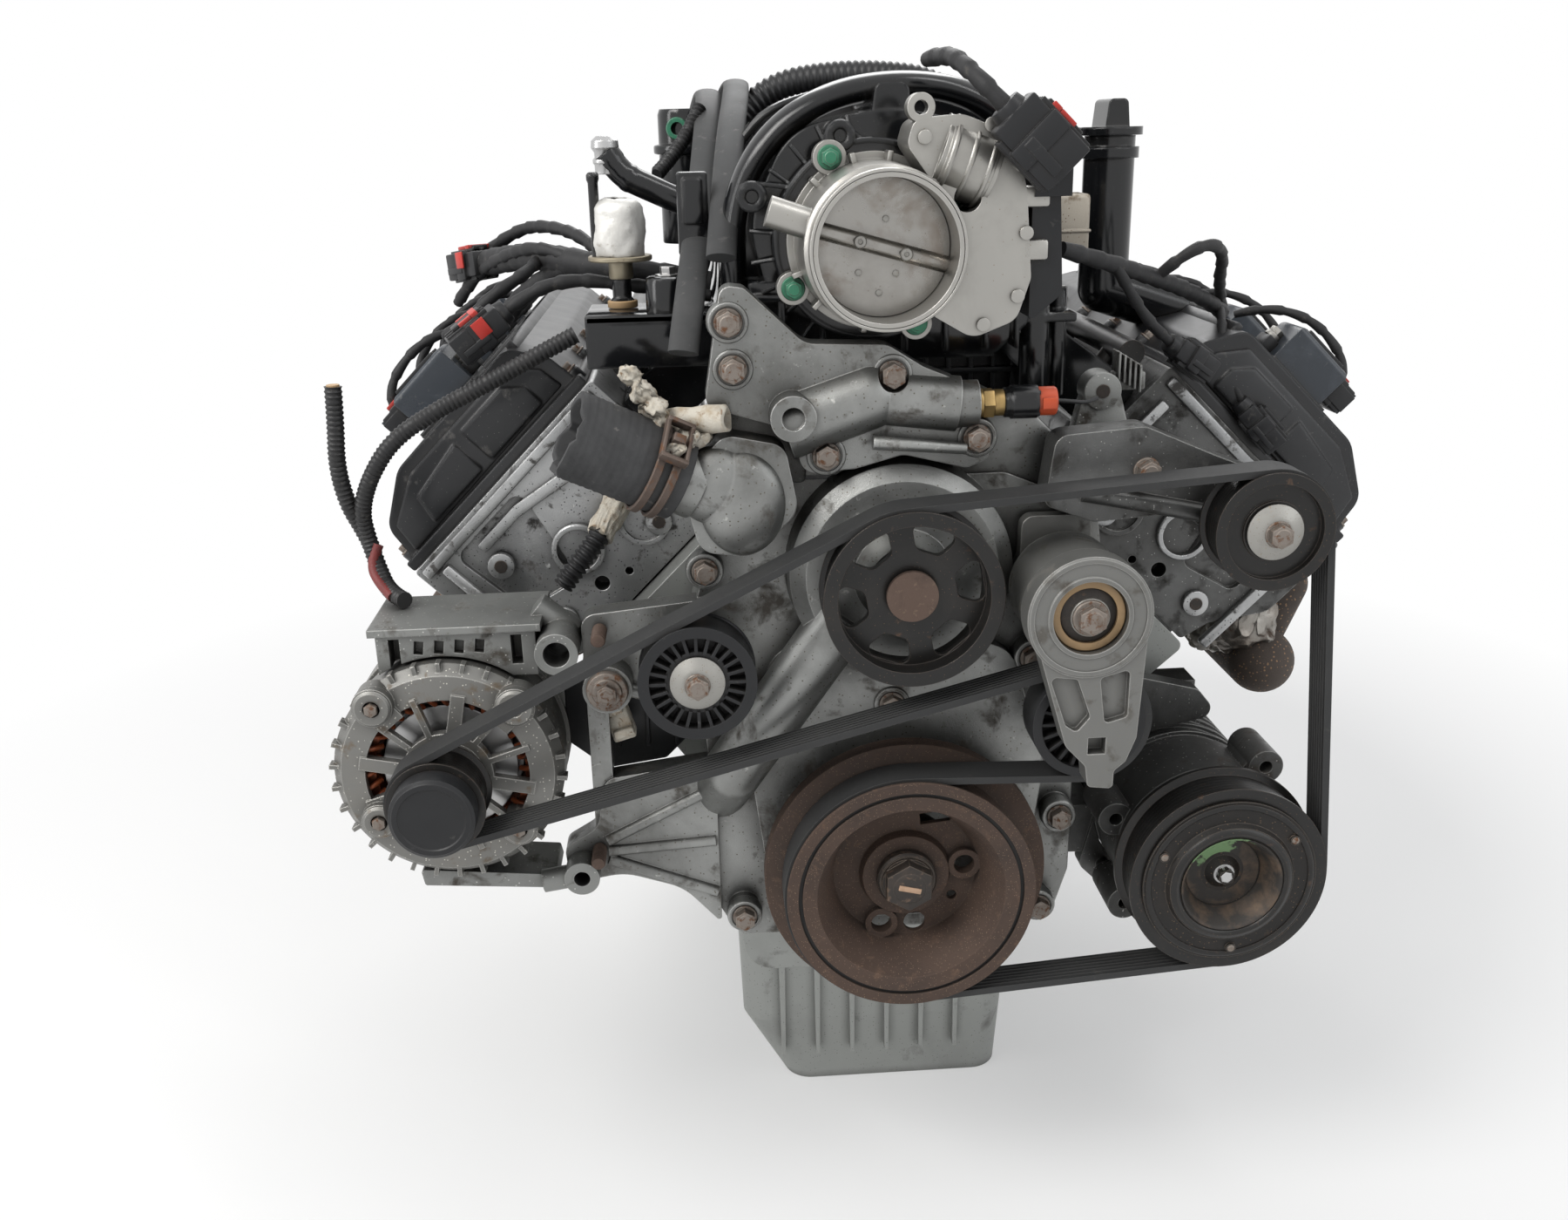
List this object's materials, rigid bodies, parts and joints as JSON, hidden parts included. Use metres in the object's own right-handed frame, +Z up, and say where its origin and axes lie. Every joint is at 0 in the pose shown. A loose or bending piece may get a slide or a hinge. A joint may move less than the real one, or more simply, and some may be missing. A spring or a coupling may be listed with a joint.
{
  "type": "v8 engine",
  "caption": "Complete ninety-degree pushrod V engine with front accessory belt drive, intake, throttle, looms and deep rear sump.",
  "frame": {"origin": "on the crankshaft axis at the flexplate's rear face, where the torque converter bolts on", "axes": "+Y along the crankshaft axis to the rear, +Z up, +X to the right of someone facing the engine's front"},
  "size_m": [0.7278, 0.673, 0.7935],
  "materials": {
    "cast_aluminium": "as cast, weathered",
    "grey_bracket": "dull grey cast",
    "cast_iron": "heat stained",
    "bright_steel": "machined",
    "piston_alloy": "machined",
    "gasket_steel": "layered sheet",
    "rusty_iron": "brown surface rust",
    "rusty_steel": "plated, rusting",
    "rubber": "matte",
    "black_plastic": "moulded",
    "black_line": "moulded",
    "gloss_black": "glossy moulded",
    "black_steel": "black coated",
    "copper_windings": "varnished copper",
    "satin_aluminium": "satin machined",
    "purge_valve": "white heat shield"
  },
  "bodies": {
    "root": {"accessory_bolts": "rusty_steel", "alternator_bracket": "grey_bracket", "alternator_housing": "cast_aluminium", "alternator_stator": "copper_windings", "breather_lines": "black_line", "compressor": "cast_aluminium", "compressor_bracket": "grey_bracket", "connecting_rods": "bright_steel", "coolant_outlet": "cast_aluminium", "cylinder_head_left": "cast_aluminium", "cylinder_head_right": "cast_aluminium", "engine_block": "cast_aluminium", "exhaust_manifolds": "cast_iron", "front_bolts": "rusty_steel", "fuel_rails": "bright_steel", "harness_connectors": "black_plastic", "head_gaskets": "gasket_steel", "hose_clamp": "rusty_steel", "idler_bracket": "grey_bracket", "ignition_coils": "gloss_black", "intake_manifold": "gloss_black", "main_bearing_caps": "cast_iron", "oil_filler_neck": "gloss_black", "oil_pan": "cast_aluminium", "pistons": "piston_alloy", "purge_valve": "purge_valve", "radiator_hose": "rubber", "serpentine_belt": "rubber", "sheet_brackets": "rusty_steel", "tensioner_case": "cast_aluminium", "thermostat_housing": "cast_aluminium", "throttle_body": "satin_aluminium", "throttle_cover": "black_plastic", "timing_chain": "bright_steel", "timing_cover": "cast_aluminium", "valve_cover_left": "gloss_black", "valve_cover_right": "gloss_black", "wiring_harness": "black_line"},
    "crank": {"crankshaft": "bright_steel", "crank_sprocket": "bright_steel", "damper_hub": "rusty_iron", "damper_rubber": "rubber", "damper_ring": "rusty_iron", "crank_bolt": "rusty_steel", "flexplate": "bright_steel"},
    "cam": {"camshaft": "bright_steel", "cam_sprocket": "bright_steel"},
    "water_pump": {"water_pump_pulley": "black_steel", "water_pump_shaft": "rusty_iron"},
    "alternator_rotating": {"alternator_rotor": "bright_steel", "alternator_pulley": "black_steel", "alternator_cap": "black_plastic"},
    "left_idler": {"left_idler_pulley": "black_plastic"},
    "right_idler": {"right_idler_pulley": "black_steel"},
    "compressor_drive": {"compressor_pulley": "black_steel"},
    "compressor_shaft": {"compressor_clutch": "black_steel"},
    "tensioner": {"tensioner_arm": "cast_aluminium"},
    "tensioner_wheel": {"tensioner_pulley": "black_plastic"},
    "throttle": {"throttle_plate": "satin_aluminium"},
    "filler_cap": {"oil_filler_cap": "gloss_black"}
  },
  "joints": [
    {"name": "crank_spin", "type": "hinge", "parent": "root", "child": "crank", "pos_m": [0, -0.62, 0], "axis": [0, 1, 0], "continuous": true, "deforming": ["connecting_rods"]},
    {"name": "camshaft_spin", "type": "hinge", "parent": "root", "child": "cam", "pos_m": [0, -0.62, 0.133], "axis": [0, 1, 0], "continuous": true},
    {"name": "water_pump_spin", "type": "hinge", "parent": "root", "child": "water_pump", "pos_m": [0, -0.62, 0.2033], "axis": [0, 1, 0], "continuous": true},
    {"name": "alternator_spin", "type": "hinge", "parent": "root", "child": "alternator_rotating", "pos_m": [-0.299, -0.62, 0.08], "axis": [0, 1, 0], "continuous": true},
    {"name": "left_idler_spin", "type": "hinge", "parent": "root", "child": "left_idler", "pos_m": [-0.1332, -0.62, 0.1557], "axis": [0, 1, 0], "continuous": true},
    {"name": "right_idler_spin", "type": "hinge", "parent": "root", "child": "right_idler", "pos_m": [0.2196, -0.62, 0.2375], "axis": [0, 1, 0], "continuous": true},
    {"name": "compressor_pulley_spin", "type": "hinge", "parent": "root", "child": "compressor_drive", "pos_m": [0.2102, -0.62, 0], "axis": [0, 1, 0], "continuous": true},
    {"name": "compressor_clutch_spin", "type": "hinge", "parent": "root", "child": "compressor_shaft", "pos_m": [0.2102, -0.62, 0], "axis": [0, 1, 0], "continuous": true},
    {"name": "tensioner_arm_swing", "type": "hinge", "parent": "root", "child": "tensioner", "pos_m": [0.101, -0.65, 0.197], "axis": [0, 1, 0], "range_deg": [-6, 20], "stiffness_Nm_per_rad": 40, "deforming": ["serpentine_belt"]},
    {"name": "tensioner_pulley_spin", "type": "hinge", "parent": "tensioner", "child": "tensioner_wheel", "pos_m": [0.1115, -0.62, 0.116], "axis": [0, 1, 0], "continuous": true},
    {"name": "throttle_plate_turn", "type": "hinge", "parent": "root", "child": "throttle", "pos_m": [-0.0154, -0.602, 0.4085], "axis": [0.9613, 0, -0.2756], "range_deg": [0, 80], "stiffness_Nm_per_rad": 0.3},
    {"name": "filler_cap_twist", "type": "hinge", "parent": "root", "child": "filler_cap", "pos_m": [0.192, -0.34, 0.464], "axis": [0, 0, 1], "range_deg": [0, 90]}
  ],
  "couplings": [
    {"joint": "camshaft_spin", "follows": "crank_spin", "ratio": 0.5},
    {"joint": "water_pump_spin", "follows": "crank_spin", "ratio": 1.4967},
    {"joint": "alternator_spin", "follows": "crank_spin", "ratio": 2.814},
    {"joint": "left_idler_spin", "follows": "crank_spin", "ratio": 2.2062},
    {"joint": "right_idler_spin", "follows": "crank_spin", "ratio": 2.3166},
    {"joint": "compressor_pulley_spin", "follows": "crank_spin", "ratio": 1.2454},
    {"joint": "tensioner_pulley_spin", "follows": "crank_spin", "ratio": -2.1757}
  ]
}
